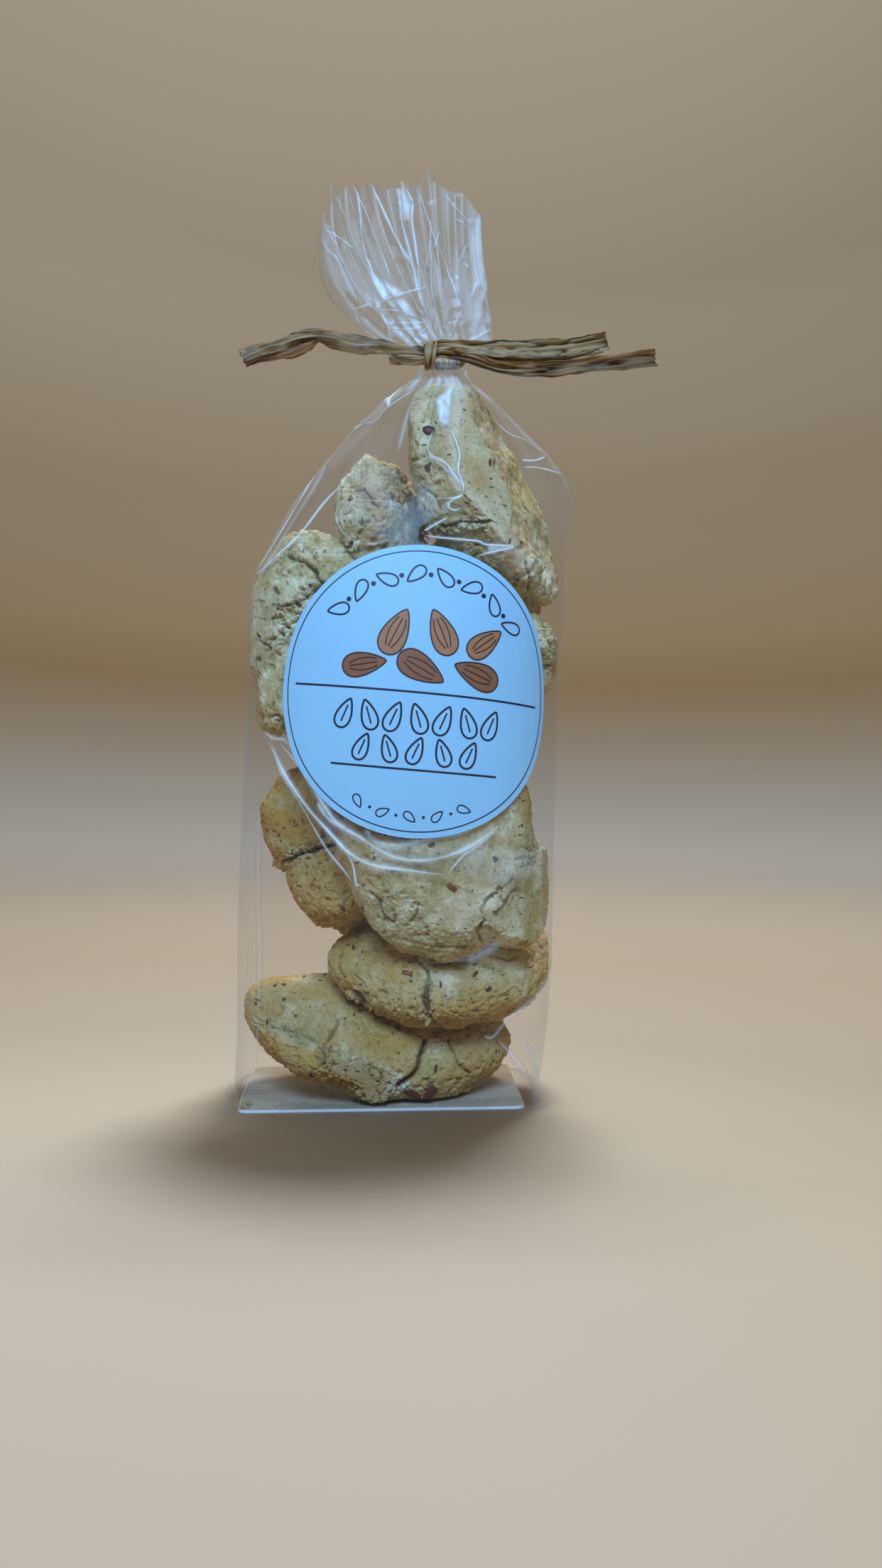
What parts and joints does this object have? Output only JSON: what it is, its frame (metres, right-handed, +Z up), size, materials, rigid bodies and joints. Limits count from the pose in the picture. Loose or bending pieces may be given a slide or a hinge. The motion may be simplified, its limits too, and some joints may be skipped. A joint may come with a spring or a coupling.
{
  "type": "clear bag of almond cookies",
  "caption": "Upright clear film bag of small round almond cookies on a card base, gathered at the neck by a raffia tie, with a round paper label on its front.",
  "frame": {"origin": "middle of the base card's underside", "axes": "+Z up through the pack, -Y out of the face with the label, +X to the right of someone looking at the label"},
  "size_m": [0.0983, 0.0496, 0.2165],
  "materials": {
    "card": "smooth coated card, pale grey with a white cut edge",
    "film": "thin clear glossy wrapping film with creases",
    "label_paper": "matt printed label paper",
    "raffia": "dry fibrous palm strip, satin along its fibres"
  },
  "bodies": {
    "root": {"base_card": "card", "clear_bag": "film", "round_label": "label_paper", "raffia_tie": "raffia"}
  },
  "joints": []
}
